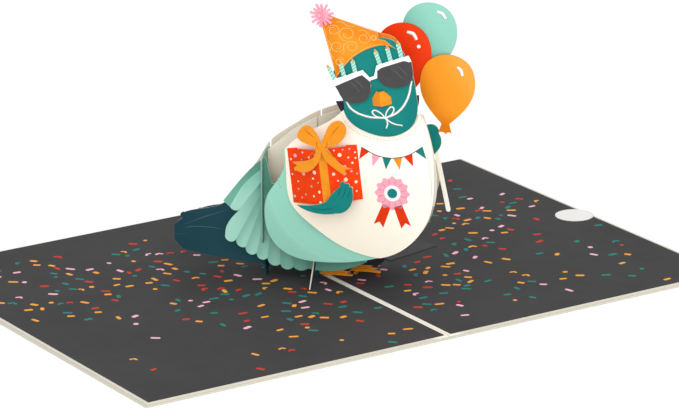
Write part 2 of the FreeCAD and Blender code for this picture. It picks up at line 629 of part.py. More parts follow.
def make_back():
    outline = [(-14, 30), [(-12, 18), (0, 10), (16, 7)], [(32, 10), (41, 20), (44, 32)],
               [(43, 46), (32, 53), (16, 56)], [(0, 53), (-11, 44), (-14, 30)]]
    panel("back_panel", "dims.back_depth", fit(outline, *BACK))


def make_claws():
    # a heel at the left and three toes at the right, standing on the page
    outline = [(0, 0), (12, 0), (12.5, 0.5), (9.4, 1.1), (11.6, 1.5), (8.6, 1.9), (9.6, 2.5), (4, 2.6),
               (0.6, 1.4)]
    box = (PAGE_TOP, size("claw_width"), size("claw_height"))
    panel("near_foot", "dims.front_profile_depth - dims.card", fit(outline, size("near_claw_at"), *box))
    panel("far_foot", "dims.rear_profile_depth - dims.card", fit(outline, size("far_claw_at"), *box))


# Cross slices and the front leg

def slice_outline(front, low, high, crown_share, back_share):
    # The front edge runs from low to high, and the top falls from the near profile to the back panel.
    near, back = size("front_profile_depth"), size("back_depth")
    crown = PAGE_TOP + size("front_profile_height") * crown_share
    return [(front, low), (front, high), [(near, crown), (back, BACK[1] + BACK[3] * back_share)],
            (back, BACK[1] + BACK[3] * 0.15)]


def slice_feet():
    # the lower edge stands on two feet with an arch between them
    page, foot, rise = PAGE_TOP, size("slice_foot"), size("arch_rise")
    near, far = size("front_profile_depth"), size("rear_profile_depth")
    return [(far + foot, page), (far, page), [((near + far) / 2, page + rise), (near, page)],
            (near - foot, page)]


def profile_joints():
    # the slots that let the two profile slices in from above
    top = PAGE_TOP + size("slice_lap")
    return [(f"{side}_profile_depth", PAGE_TOP - CARD, top) for side in ("front", "rear")]


def make_left_slice():
    # stands in front of the wing
    front = size("wing_depth") - size("left_slice_proud")
    low = wing_lap(0.27)
    under = (size("wing_depth") + 2 * CARD, low - 6 * CARD)
    outline = slice_outline(front, low, wing_lap(0.97), 0.735, 0.68) + slice_feet() + [under]
    cross_slice("left_slice", "dims.left_slice_at", outline,
                [("wing_depth", PAGE_TOP, wing_lap(0.5))] + profile_joints())


def make_middle_slice():
    # carries the body panel on its front edge
    front = size("body_depth") + CARD
    wing_foot = (size("wing_depth"), PAGE_TOP + 2 * size("arch_rise"))
    outline = slice_outline(front, BODY[1] + BODY[3] * 0.065, BODY[1] + BODY[3] * 0.75, 0.86, 0.8)
    cross_slice("middle_slice", "dims.middle_slice_at", outline + slice_feet() + [wing_foot],
                [("wing_depth", PAGE_TOP, wing_lap(0.42))] + profile_joints())


def make_right_slice(side_lap):
    # hangs on the two profile slices and doesn't reach the page
    front, low = size("body_depth") + CARD, BODY[1] + BODY[3] * 0.17
    outline = slice_outline(front, low, BODY[1] + BODY[3] * 0.88, 0.88, 0.66)
    cross_slice("right_slice", "dims.right_slice_at", outline + [(size("rear_profile_depth"), low)],
                [("side_depth", PAGE_TOP, side_lap)] + profile_joints())


def make_front_leg():
    # a narrow leg on the middle slice leans forward under the body to the page
    page, neck = PAGE_TOP, size("leg_neck")
    toe = size("body_depth") - size("leg_forward")
    knee = size("wing_depth") - 2 * CARD
    top = page + size("leg_height")
    outline = [(toe, page), (toe + size("leg_toe"), page), (knee, page + neck * 2.7), (knee, top),
               (knee - neck, top), (knee - neck, page + neck * 3.3)]
    cross_slice("front_leg", "dims.middle_slice_at + dims.card", outline)


make_page()
make_closing_disc()
make_anchor_pad()
make_body()
side_lap = make_shirt_side()
make_head()
make_glasses()
make_pompom(*make_hat())
make_beak()
make_gift()
make_bow()
make_gift_hand()
make_balloons()
make_wing()
make_profile("front_profile", 0, "near_claw_at")
make_profile("rear_profile", size("tail_step"), "far_claw_at")
make_back()
make_claws()
make_left_slice()
make_middle_slice()
make_right_slice(side_lap)
make_front_leg()
doc.recompute()

for item in doc.Objects:
    if "Invalid" in item.State or "Error" in item.State:
        raise RuntimeError(f"{item.Label} did not build: {item.State}")
for piece in PARTS:
    if piece.Shape.isNull() or not piece.Shape.isValid() or len(piece.Shape.Solids) != 1:
        raise RuntimeError(f"{piece.Label} is not one valid solid")

os.makedirs("parts", exist_ok=True)
for piece in PARTS:
    piece.Shape.exportStep(f"parts/{piece.Label}.step")
print(f"{len(PARTS)} pieces written")
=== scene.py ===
import math
import random

import bpy
from mathutils import Euler, Matrix, Vector


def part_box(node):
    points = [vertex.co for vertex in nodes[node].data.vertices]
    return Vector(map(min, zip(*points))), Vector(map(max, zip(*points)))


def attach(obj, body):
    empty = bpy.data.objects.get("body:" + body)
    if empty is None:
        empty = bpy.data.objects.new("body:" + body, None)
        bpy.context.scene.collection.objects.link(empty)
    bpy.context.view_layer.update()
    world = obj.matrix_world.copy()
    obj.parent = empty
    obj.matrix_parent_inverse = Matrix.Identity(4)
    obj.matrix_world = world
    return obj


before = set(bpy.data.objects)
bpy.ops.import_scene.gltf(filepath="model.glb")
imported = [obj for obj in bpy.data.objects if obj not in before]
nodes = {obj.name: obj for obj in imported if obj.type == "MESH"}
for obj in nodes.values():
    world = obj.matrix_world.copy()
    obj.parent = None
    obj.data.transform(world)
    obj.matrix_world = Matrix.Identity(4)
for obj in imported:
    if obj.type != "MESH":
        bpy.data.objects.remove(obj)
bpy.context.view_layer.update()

mm = 0.001
random.seed(11)

# The bird's panels stand at 45 degrees to the fold. Places on them are given as across and
# height in millimetres, and depth runs away from the reader.
across = Vector((math.sqrt(0.5), -math.sqrt(0.5), 0))
away = Vector((math.sqrt(0.5), math.sqrt(0.5), 0))


# Shader maths

class Wire:
    # a socket that is added, subtracted and multiplied like a number
    def __init__(self, recipe, socket):
        self.recipe, self.socket = recipe, socket

    def maths(self, operation, first, second=0.0):
        return self.recipe.node("ShaderNodeMath", {"operation": operation}, {0: first, 1: second})

    def __add__(self, other):
        return self.maths("ADD", self, other)

    def __sub__(self, other):
        return self.maths("SUBTRACT", self, other)

    def __rsub__(self, other):
        return self.maths("SUBTRACT", other, self)

    def __mul__(self, other):
        return self.maths("MULTIPLY", self, other)

    def __abs__(self):
        return self.maths("ABSOLUTE", self)

    __radd__ = __add__
    __rmul__ = __mul__

    def over(self, low, high):
        # rises smoothly from 0 at low to 1 at high
        return self.recipe.node("ShaderNodeMapRange", {"interpolation_type": "SMOOTHSTEP"},
                                {0: self, 1: low, 2: high})

    def root(self):
        return self.maths("SQRT", self)


class Recipe:
    # one material, built from its nodes
    def __init__(self, name):
        self.material = bpy.data.materials.new(name)
        self.material.use_nodes = True
        self.tree = self.material.node_tree
        self.surface = self.tree.nodes["Principled BSDF"]
        self.made = {}

    def join(self, value, socket):
        if isinstance(value, Wire):
            self.tree.links.new(value.socket, socket)
        elif socket.type == "RGBA" and len(value) == 3:
            socket.default_value = (*value, 1)
        else:
            socket.default_value = value

    def node(self, kind, settings=None, inputs=None, out=0):
        made = self.tree.nodes.new(kind)
        for key, value in (settings or {}).items():
            setattr(made, key, value)
        for key, value in (inputs or {}).items():
            self.join(value, made.inputs[key])
        return Wire(self, made.outputs[out])

    def once(self, key, make):
        if key not in self.made:
            self.made[key] = make()
        return self.made[key]

    def place(self):
        return self.once("place", lambda: self.node("ShaderNodeTexCoord", out="Object"))

    def facing(self):
        return self.once("facing", lambda: self.node("ShaderNodeTexCoord", out="Normal"))

    def along(self, direction):
        # the place measured along a direction, in mm
        key = ("along", tuple(direction))
        return self.once(key, lambda: self.node(
            "ShaderNodeVectorMath", {"operation": "DOT_PRODUCT"},
            {0: self.place(), 1: Vector(direction) / mm}, "Value"))

    def onPanel(self):
        # the place on an upright panel: across and height, in mm
        return self.along(across), self.along((0, 0, 1))

    def turned(self, direction):
        # how far the surface faces a direction, from -1 to 1
        key = ("turned", tuple(direction))
        return self.once(key, lambda: self.node(
            "ShaderNodeVectorMath", {"operation": "DOT_PRODUCT"}, {0: self.facing(), 1: Vector(direction)},
            "Value"))

    def noise(self, grain, detail=3.0, rough=0.55, stretch=(1, 1, 1)):
        # grain is the size of a speck, in mm
        where = self.place()
        if stretch != (1, 1, 1):
            where = self.node("ShaderNodeMapping", inputs={"Vector": where, "Scale": stretch})
        return self.node("ShaderNodeTexNoise", inputs={"Vector": where, "Scale": 1 / (grain * mm),
                                                       "Detail": detail, "Roughness": rough})

    def brushed(self, grain, share):
        # how a brushed ink varies, about zero
        return (self.noise(grain, 5.0, 0.75) - 0.5) * share

    def blend(self, share, first, second, kind="MIX"):
        return self.node("ShaderNodeMix", {"data_type": "RGBA", "blend_type": kind, "clamp_factor": True},
                         {0: share, 6: first, 7: second}, 2)

    def paper(self, colour, shine=0.12, rough=0.72, tooth=1.0):
        # paper that takes ink a little unevenly, with a fine tooth
        cloud = self.noise(7.0, 4.0)
        speck = self.noise(0.45, 2.0, 0.7)
        colour = self.blend((cloud - 0.5) * 0.22 + 0.03, colour, (0.35, 0.34, 0.32), "SOFT_LIGHT")
        colour = self.blend((speck - 0.5) * 0.5, colour, (1.0, 0.99, 0.96), "SOFT_LIGHT")
        self.join(colour, self.surface.inputs["Base Color"])
        self.join(cloud * 0.10 + speck * 0.08 + (rough - 0.09), self.surface.inputs["Roughness"])
        self.surface.inputs["Specular IOR Level"].default_value = shine
        fibre = self.noise(0.9, 4.0, 0.6, (1.0, 1.0, 2.2))
        bump = self.node("ShaderNodeBump", inputs={"Strength": 0.25 * tooth, "Distance": 0.05 * mm,
                                                   "Height": fibre + speck * 0.5})
        self.join(bump, self.surface.inputs["Normal"])
        return self.material


def hexColour(code):
    # a screen colour as the linear values that a shader wants
    parts = [int(code[i:i + 2], 16) / 255 for i in (0, 2, 4)]
    return tuple(c / 12.92 if c <= 0.04045 else ((c + 0.055) / 1.055) ** 2.4 for c in parts)


def panelRecipe(name, printed, rear, core="f1ebdd", bare=0.6):
    # A die-cut panel: printed on the reader's side, another colour behind, pale along the cut,
    # where the print shows through a little. A colour may be a function of the recipe.
    recipe = Recipe(name)
    front = printed(recipe) if callable(printed) else hexColour(printed)
    behind = rear(recipe) if callable(rear) else hexColour(rear)
    turn = recipe.turned(away)
    sides = recipe.blend(turn.over(-0.05, 0.05), front, behind)
    cut = (1 - abs(turn).over(0.60, 0.75)) * bare
    return recipe.paper(recipe.blend(cut, sides, hexColour(core)))


def sliceRecipe(name, colour, core, shadedBelow=0.0):
    # A cross slice: the same card colour on both faces, pale along its cut edges. Its foot may
    # be painted as dark as the page in the shade under the body, up to a height.
    recipe = Recipe(name)
    faces = colour(recipe) if callable(colour) else hexColour(colour)
    flat = abs(recipe.turned(across)).over(0.60, 0.75)
    card = recipe.blend(flat, hexColour(core), faces)
    if shadedBelow:
        # painted shade: the foot is as dark as the shadowed page
        foot = recipe.along((0, 0, 1)).over(shadedBelow, shadedBelow + 0.3)
        card = recipe.blend(foot, tone("nightDeep"), card)
    return recipe.paper(card)


def inkRecipe(name, colour):
    recipe = Recipe(name)
    return recipe.paper(colour(recipe) if callable(colour) else hexColour(colour))


def dress(material, *names):
    for name in names:
        nodes[name].data.materials.clear()
        nodes[name].data.materials.append(material)


# Camera, lights and floor

view = {
    "turn": -32.82, "rise": 17.778, "roll": -0.391,   # degrees
    "distance": 1520.3, "target": (-15.167, -39.156, 40.0),   # mm
    "focal": 4167.453 / 679, "sensor": 36.0,   # focal length over the picture's width; mm
}


def setCamera():
    turn, rise = math.radians(view["turn"]), math.radians(view["rise"])
    back = Vector((math.sin(turn) * math.cos(rise), -math.cos(turn) * math.cos(rise), math.sin(rise)))
    bpy.ops.object.camera_add(location=(Vector(view["target"]) + back * view["distance"]) * mm)
    camera = bpy.context.object
    level = (-back).to_track_quat("-Z", "Y")
    camera.rotation_euler = (level @ Euler((0, 0, math.radians(view["roll"]))).to_quaternion()).to_euler()
    camera.data.sensor_width = view["sensor"]
    camera.data.lens = view["focal"] * view["sensor"]
    camera.data.clip_start, camera.data.clip_end = 0.05, 20
    bpy.context.scene.camera = camera


studio = {
    "keyPlace": (-0.85, -1.1, 0.75), "keySize": 1.5, "keyPower": 9.0,
    "fillPlace": (0.8, -1.2, 0.6), "fillSize": 1.6, "fillPower": 4.5,
    "sky": 0.96, "floorSize": 12.0,
}


def aimedLight(place, size, power):
    bpy.ops.object.light_add(type="AREA", location=place)
    lamp = bpy.context.object
    lamp.data.size, lamp.data.energy = size, power
    aim = Vector((0, 0, 0.03)) - Vector(place)
    lamp.rotation_euler = aim.to_track_quat("-Z", "Y").to_euler()


def setStudio():
    aimedLight(studio["keyPlace"], studio["keySize"], studio["keyPower"])
    aimedLight(studio["fillPlace"], studio["fillSize"], studio["fillPower"])
    world = bpy.data.worlds.new("softSky")
    world.use_nodes = True
    world.node_tree.nodes["Background"].inputs["Color"].default_value = (1, 1, 1, 1)
    world.node_tree.nodes["Background"].inputs["Strength"].default_value = studio["sky"]
    bpy.context.scene.world = world
    bpy.context.scene.view_settings.view_transform = "Standard"   # card colours as they are printed
    bpy.ops.object.select_all(action="DESELECT")
    bpy.ops.mesh.primitive_plane_add(size=studio["floorSize"], location=(0, 0, -0.05 * mm))
    floor = bpy.context.object
    floor.name = "floor"
    recipe = Recipe("paleFloor")
    recipe.surface.inputs["Roughness"].default_value = 0.9
    recipe.surface.inputs["Specular IOR Level"].default_value = 0.1
    recipe.join(recipe.blend(recipe.noise(40.0), (0.96, 0.96, 0.96), (0.98, 0.98, 0.98)),
                recipe.surface.inputs["Base Color"])
    floor.data.materials.append(recipe.material)


setCamera()
setStudio()
print("camera, lights and floor set")


# Card stock

tones = {
    "cream": "c8c4b7", "sheet": "efebdf", "rim": "d6d1c4", "shirt": "fffbee", "shirtWarm": "fef4df",
    "redLit": "f5440b", "ball": "8ccab8", "ballDeep": "6aa898", "ballPale": "a2dbc9",
    "mint": "99d8c3", "mintDeep": "75b8a2", "mintDark": "54917f", "mintPale": "abe2d0",
    "teal": "15827c", "tealDeep": "0f6a68",
    "night": "2c5763", "nightDeep": "1e444f", "liner": "3d3c3d", "linerDeep": "333234",
    "orange": "ee9625", "orangeDeep": "d8770b", "orangeDark": "b9600a", "orangePale": "ffbe6a",
    "red": "e43809", "redDeep": "c92b05", "redPale": "f04c20", "pink": "f9adbf", "pinkDeep": "e67f9b",
    "grey": "4a494a", "greyPale": "6b6a6b", "white": "fdfdfa", "greyMint": "8fb5aa", "plum": "33243a",
    "beige": "dfd6c2", "beigeDeep": "aba592", "beigePale": "eae3d2", "dot": "fbe6cc", "ash": "5f7a84",
    "candle": "c0ede0", "candleDeep": "85c3b2",
    "redDim": "c23c2c", "tealDim": "1e8078", "orangeDim": "e8a040", "pinkDim": "eab0c0",
}


def tone(name):
    return hexColour(tones[name])


page = {
    "fleckSize": 0.6, "cloudSize": 45.0,   # flecks in the cover, clouds on the dark liners
    "sheetRim": (3.0, 8.0),   # from the fold, where the cream sheet turns duller
    "score": (0.1, 0.5),   # from the fold, where the painted shade of the scored line ends
    "sealMiddle": 119.5, "sealRim": (6.6, 7.5),   # the seal's place, and its duller rim
    "pad": "424143", "seal": "e4e2df", "sealDull": "cfccc9",
}


def dressPage():
    cover = Recipe("creamCover")
    fleck = cover.noise(page["fleckSize"], 2.0, 0.8).over(0.66, 0.74)
    dress(cover.paper(cover.blend(fleck * 0.35, tone("cream"), tone("beigeDeep")), tooth=1.6), "cover")
    mount = Recipe("creamSheet")
    along = abs(mount.along((1, 0, 0)))
    sheet = mount.blend(along.over(*page["sheetRim"]), tone("sheet"), tone("rim"))
    fold = (1 - along.over(*page["score"])) * 0.25   # painted shade darkens the scored line in the fold's crease
    dress(mount.paper(mount.blend(fold, sheet, tone("beigeDeep"))), "mount_sheet")
    liner = Recipe("darkLiner")
    patch = liner.noise(page["cloudSize"], 3.0).over(0.35, 0.7)
    dress(liner.paper(liner.blend(patch * 0.45, tone("liner"), tone("linerDeep"))),
          "liner_left", "liner_right")
    dress(inkRecipe("greyPad", page["pad"]), "anchor_pad")
    seal = Recipe("whiteSeal")
    x, y = seal.along((1, 0, 0)) - page["sealMiddle"], seal.along((0, 1, 0))
    ring = (x * x + y * y).root().over(*page["sealRim"]) * 0.5
    disc = seal.blend(ring, hexColour(page["seal"]), hexColour(page["sealDull"]))
    dress(seal.paper(disc, 0.4, 0.5), "closing_disc")


body = {
    "middle": (17.0, 43.0), "lit": 27.6,   # the middle of its round lower edge, and where its painted light is palest
    "paleEdge": (30.2, 31.0),   # from that middle, where the pale outer edge begins and ends
    "shoulder": ((36.0, 37.0), (30.0, 34.0)),   # across and height, where the cream shoulder begins
}


def bodyPrint(recipe):
    # mint, with painted shade along the shirt's hem and along the outer edge, palest in a painted light
    # between
    u, z = recipe.onPanel()
    x, y = u - body["middle"][0], z - body["middle"][1]
    reach = (x * x + y * y).root()
    # painted shade, deeper away from the palest band towards the hem and the outer edge
    rim = abs(reach - body["lit"]).over(1.8, 6.5) * 0.7
    grain = recipe.brushed(2.2, 0.5)
    mint = recipe.blend(rim + grain * rim, tone("mint"), tone("mintDeep"))
    # a pale line runs round the outer edge
    mint = recipe.blend(reach.over(*body["paleEdge"]) * 0.4, mint, tone("mintPale"))
    # and the right shoulder is as cream as the shirt
    side, rise = body["shoulder"]
    return recipe.blend(u.over(*side) * z.over(*rise), mint, tone("shirtWarm"))


def shirtPrint(recipe):
    # cream, with a warm painted shade towards the lower left
    u, z = recipe.onPanel()
    # painted shade, growing towards the lower left
    shade = 1 - (u * 0.6 + z * 0.8).over(24.0, 58.0)
    return recipe.blend(shade * 0.9, tone("shirt"), tone("shirtWarm"))


def headPrint(recipe):
    # teal, with a little painted shade towards the chin and both sides
    u, z = recipe.onPanel()
    # painted shade at both sides and at the chin
    side = abs(u - 27.5).over(7.0, 15.0) * 0.45
    chin = (1 - z.over(61.0, 70.0)) * 0.35
    brush = recipe.brushed(3.0, 0.55)
    return recipe.blend(side + chin + brush, tone("teal"), tone("tealDeep"))


feathers = {
    "root": (-12.0, 47.0),   # where the feathers of the fan meet
    "tips": [(-28.2, 16.2), (-24.8, 12.9), (-20.6, 10.8), (-16.4, 9.2), (-11.6, 7.0), (-6.6, 6.2),
             (-1, 5.9)],
    "shade": 3.4,   # how far a feather's shadow falls on the next one
    "shoulder": (-14.5, 45.0),   # the darkest place of the wing
}


def wingPrint(recipe):
    # each feather of the fan casts a soft shade on its neighbour, and all darken towards the body in a
    # painted shadow of the body
    u, z = recipe.onPanel()
    # painted shadow of the body, deeper towards it
    deep = (u * 0.75 + z * 0.35).over(-16.0, 4.0) * 0.7
    shade = recipe.brushed(2.2, 0.35)
    root = Vector(feathers["root"])
    for tip in feathers["tips"]:
        run = (Vector(tip) - root).normalized()
        beside = (u - root.x) * -run.y + (z - root.y) * run.x
        shade = shade + beside.over(-0.15, 0.15) * (1 - beside.over(0.2, feathers["shade"])) * 0.55
    fan = recipe.blend(shade, tone("mintPale"), tone("mintDeep"))
    x, y = u - feathers["shoulder"][0], z - feathers["shoulder"][1]
    shoulder = 1 - (x * x + y * y).root().over(3.0, 13.0)
    return recipe.blend(shoulder * 0.75 + deep * 1.2, fan, tone("mintDark"))


def featherPrint(recipe):
    # the long upper feathers: deepest at the shoulder
    u, z = recipe.onPanel()
    rise = (z + u * 0.3).over(22.0, 42.0)
    grain = recipe.brushed(2.0, 0.4)
    return recipe.blend(rise + grain, tone("mintDeep"), tone("mintDark"))


def secondFeatherPrint(recipe):
    u, z = recipe.onPanel()
    rise = (z + u * 0.3).over(20.0, 40.0) * 0.9
    grain = recipe.brushed(2.0, 0.4)
    return recipe.blend(rise + grain, tone("mintPale"), tone("mintDeep"))


def sidePrint(tailShade, pale, low, high, share):
    def printed(recipe):
        # a dark tail, its right end as dark as the page in a painted shadow under the body, and beige-grey
        # card above it with painted shade towards the lower right
        u, z = recipe.onPanel()
        tail = recipe.blend(u.over(-54.0, -20.0) * tailShade, tone("nightDeep"), tone("night"))
        # painted shadow: the tail's right end is as dark as the shaded page under the body
        tail = recipe.blend(u.over(0.0, 8.0), tail, tone("linerDeep"))
        # painted shade on the beige, deeper towards the lower right
        lit = recipe.blend((u - z * 0.5).over(low, high) * share, tone(pale), tone("beigeDeep"))
        return recipe.blend(z.over(30.2, 30.6), tail, lit)
    return printed


def hatPrint(recipe):
    # orange, with painted shade along the left edge and along the folded top edge; deeper along the brim
    u, z = recipe.onPanel()
    # painted shade on the left, where the hat turns away from the light
    left = 1 - (u + z * 0.25).over(33.0, 41.0)
    brim = 1 - (z + u * -0.36).over(80.5, 88.0)
    grain = recipe.brushed(1.8, 0.5)
    # painted shade in a narrow band where the top edge folds back
    top = (z + u * 0.37 - 108.0).over(-3.2, -0.6) * 0.5
    return recipe.blend(left * 0.6 + brim * 0.5 + top + grain, tone("orange"), tone("orangeDeep"))


balloons = {   # ink, and the place of the lowest point
    "orange": ("orange", 51.1, 65.0), "red": ("red", 37.1, 76.2), "mint": ("ball", 48.0, 89.0),
}


def balloonPrint(middle, low, pale, base, deep):
    def printed(recipe):
        # lit from the upper right, deeper at the lower left and the neck
        u, z = recipe.onPanel()
        u, z = u - middle, z - low
        slope = u * 0.9 + z * 0.55
        shade = 1 - slope.over(-9.0, 9.0)
        light = slope.over(9.0, 20.0) * 0.25
        neck = (1 - z.over(-2.0, 5.0)) * 0.7
        grain = recipe.brushed(2.0, 0.25)
        colour = recipe.blend(shade * 0.9 + neck + grain, tone(base), tone(deep))
        return recipe.blend(light, colour, tone(pale))
    return printed


def glassesPrint(recipe):
    # white, with the cut edges of both lenses as grey as the lenses
    u, z = recipe.onPanel()
    left = (1 - (z - u * 0.47).over(74.6, 74.8)) * (1 - u.over(25.35, 25.45))
    left = left * (1 - (z + u * 0.8).over(102.8, 103))   # the frame stays white beside the bridge
    right = (1 - (z - u * 0.3265).over(77.9, 78.1)) * u.over(27.75, 27.85)
    bar = recipe.blend(left + right, tone("white"), tone("grey"))
    # and pale mint candles above the brow bar
    above = (z - u * 0.375).over(78.75, 78.85)
    return recipe.blend(above, bar, tone("candle"))


def plainPrint(base, deep, share=0.5):
    def printed(recipe):
        return recipe.blend(recipe.noise(3.0, 5.0, 0.75).over(0.3, 0.8) * share, tone(base), tone(deep))
    return printed


def dressFigure():
    dress(panelRecipe("mintBody", bodyPrint, tones["beige"]), "body_panel")
    dress(panelRecipe("creamShirt", shirtPrint, tones["beige"]), "shirt_panel", "shirt_side")
    dress(panelRecipe("tealHead", headPrint, tones["beige"], bare=0.35), "head_panel")
    dress(panelRecipe("nightNeck", tones["plum"], tones["nightDeep"], tones["night"]), "neck_piece")
    dress(panelRecipe("whiteGlasses", glassesPrint, tones["white"], bare=0.1), "candle_glasses")
    dress(panelRecipe("mintWing", wingPrint, tones["beige"]), "wing_panel")
    dress(panelRecipe("rearWing", tones["beige"], wingPrint), "rear_wing_panel")
    # one beige card in two prints: the near profile's face lit, the far profile and the near one's back in
    # painted shade
    lit = sidePrint(0.7, "beigePale", -40.0, -14.0, 0.6)
    shadedSide = sidePrint(0.5, "beige", -42.0, -10.0, 0.5)
    dress(panelRecipe("nearProfile", lit, shadedSide, bare=0.4), "front_profile")
    dress(panelRecipe("farProfile", shadedSide, shadedSide, bare=0.4), "rear_profile")
    dress(panelRecipe("mintBack", tones["beige"], plainPrint("mint", "mintDeep")), "back_panel")
    dress(panelRecipe("orangeHat", hatPrint, tones["beige"], bare=0.3), "hat_front")
    # the hat's inside is a darker orange, a painted shade
    shadedInside = plainPrint("orangeDeep", "orangeDark")
    dress(panelRecipe("orangeHatBack", shadedInside, hatPrint, bare=0.3), "hat_back")
    dress(panelRecipe("orangeBow", plainPrint("orange", "orangeDeep", 0.35), tones["orangeDeep"], bare=0.2),
          "gift_bow")
    dress(panelRecipe("tealHand", plainPrint("teal", "tealDeep", 0.25), tones["beige"], bare=0.3),
          "gift_hand", "balloon_hand")
    dress(panelRecipe("creamString", tones["shirt"], tones["shirt"]), "balloon_string")
    dress(panelRecipe("orangeFeet", plainPrint("orange", "orangeDeep", 0.6), tones["beige"], bare=0.1),
          "near_foot", "far_foot")
    dress(inkRecipe("redBox", plainPrint("redLit", "red", 0.6)), "gift_box")
    dress(inkRecipe("orangeRibbon", plainPrint("orange", "orangeDeep", 0.5)), "gift_ribbon")
    dress(inkRecipe("orangeBeak", plainPrint("orange", "orangeDeep", 0.5)), "beak")
    dress(inkRecipe("pinkPompom", plainPrint("pink", "pinkDeep", 0.35)), "pompom_front", "pompom_cross")
    dress(sliceRecipe("bareSlice", plainPrint("greyMint", "beigeDeep", 0.6), tones["greyMint"], 14.0),
          "left_slice")
    dress(sliceRecipe("beigeSlice", plainPrint("beige", "beigeDeep", 0.5), tones["beigePale"], 24.0),
          "middle_slice", "right_slice")
    dress(sliceRecipe("darkLeg", tones["linerDeep"], tones["cream"]), "front_leg")
    for colour, (ink, middle, low) in balloons.items():
        printed = balloonPrint(middle, low, f"{ink}Pale", ink, f"{ink}Deep")
        dress(panelRecipe(f"{colour}Balloon", printed, printed, tones[f"{colour}Deep"], 0.7),
              f"balloon_{colour}")


dressPage()
dressFigure()
print("card stock dressed")


# Print: thin sheets of ink cut to shape, laid on the panels

inkThick = 0.04   # mm


def faceOf(node):
    # the plane of a panel's front: across, up, and out towards the reader
    depth = min(corner.co.dot(away) for corner in nodes[node].data.vertices)
    return planeAt(away * depth, across, -away)


def planeAt(origin, right, out):
    up = out.cross(right)
    place = Matrix.Identity(4)
    for column, direction in enumerate((right, up, out)):
        place.col[column].xyz = direction
    place.translation = origin
    return place


def settle(piece, place, flatten=1.0):
    # makes a drawn curve a mesh and moves it to its place
    bpy.ops.object.convert(target="MESH")
    piece.data.transform(place @ Matrix.Diagonal((1, 1, flatten, 1)))
    piece.matrix_world = Matrix.Identity(4)
    return piece


def startCurve():
    bpy.ops.object.select_all(action="DESELECT")
    bpy.ops.curve.primitive_bezier_circle_add(radius=mm)
    piece = bpy.context.object
    piece.data.splines.clear()
    spline = piece.data.splines.new("BEZIER")
    return piece, spline


def inkPatch(place, outline, lift=0.0):
    # A filled shape. A point with a third value is a sharp corner.
    piece, spline = startCurve()
    piece.data.dimensions, piece.data.fill_mode = "2D", "BOTH"
    piece.data.resolution_u, piece.data.extrude = 5, inkThick / 2 * mm
    spline.bezier_points.add(len(outline) - 1)
    spline.use_cyclic_u = True
    for knot, point in zip(spline.bezier_points, outline):
        knot.co = (point[0] * mm, point[1] * mm, 0)
        knot.handle_left_type = knot.handle_right_type = "VECTOR" if len(point) > 2 else "AUTO"
    return settle(piece, place @ Matrix.Translation((0, 0, (lift + inkThick / 2) * mm)))


def inkLine(place, path, width, tips=0.6, lift=0.0):
    # a brush stroke through the path's points, narrower at its tips
    piece, spline = startCurve()
    piece.data.dimensions = "3D"
    piece.data.resolution_u, piece.data.bevel_resolution = 4, 0
    piece.data.bevel_depth, piece.data.use_fill_caps = width / 2 * mm, True
    spline.bezier_points.add(len(path) - 1)
    spline.use_cyclic_u = False
    for i, (knot, point) in enumerate(zip(spline.bezier_points, path)):
        knot.co = (point[0] * mm, point[1] * mm, 0)
        knot.handle_left_type = knot.handle_right_type = "AUTO"
        knot.radius = tips if i in (0, len(path) - 1) else 1.0
    return settle(piece, place @ Matrix.Translation((0, 0, lift * mm)), 2 * inkThick / width)


def inkDot(place, middle, radius, lift=0.0, corners=10):
    bpy.ops.object.select_all(action="DESELECT")
    bpy.ops.mesh.primitive_circle_add(vertices=corners, radius=radius * mm, fill_type="NGON")
    piece = bpy.context.object
    bpy.ops.object.mode_set(mode="EDIT")
    bpy.ops.mesh.extrude_region_move(TRANSFORM_OT_translate={"value": (0, 0, (lift + inkThick) * mm)})
    bpy.ops.transform.resize(value=(0.97, 0.97, 1))
    bpy.ops.object.mode_set(mode="OBJECT")
    piece.data.transform(place @ Matrix.Translation((middle[0] * mm, middle[1] * mm, 0)))
    piece.matrix_world = Matrix.Identity(4)
    return piece


def gather(name, parts, material):
    # joins the sheets of one ink into one piece that rides with the card
    bpy.ops.object.select_all(action="DESELECT")
    for part in parts:
        part.select_set(True)
    bpy.context.view_layer.objects.active = parts[0]
    if len(parts) > 1:
        bpy.ops.object.join()
    piece = bpy.context.object
    piece.name = piece.data.name = name
    piece.data.materials.clear()
    piece.data.materials.append(material)
    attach(piece, "root")
    return piece


def between(first, second, share):
    return tuple(a + (b - a) * share for a, b in zip(first, second))


inkMixes = {   # the tone that an ink drifts towards, and how far
    "white": ("shirt", 0.3), "grey": ("liner", 0.5), "greyPale": ("grey", 0.4), "ash": ("night", 0.2),
    "mintPale": ("mint", 0.4), "greyMint": ("mintDeep", 0.3), "candleDeep": ("mint", 0.3),
    "orange": ("orangeDeep", 0.4), "orangeDeep": ("orange", 0.3), "orangePale": ("orange", 0.3),
    "orangeDark": ("orangeDeep", 0.3), "red": ("redDeep", 0.5), "pink": ("pinkDeep", 0.4),
    "pinkDeep": ("pink", 0.4), "teal": ("tealDeep", 0.5), "tealDeep": ("teal", 0.3),
    "beige": ("beigePale", 0.4), "dot": ("pink", 0.2), "redDim": ("redDeep", 0.4),
    "tealDim": ("tealDeep", 0.4), "orangeDim": ("orange", 0.4), "pinkDim": ("pink", 0.4),
}
inks = {name: inkRecipe(f"{name}Ink", plainPrint(name, *mix)) for name, mix in inkMixes.items()}


# Glasses

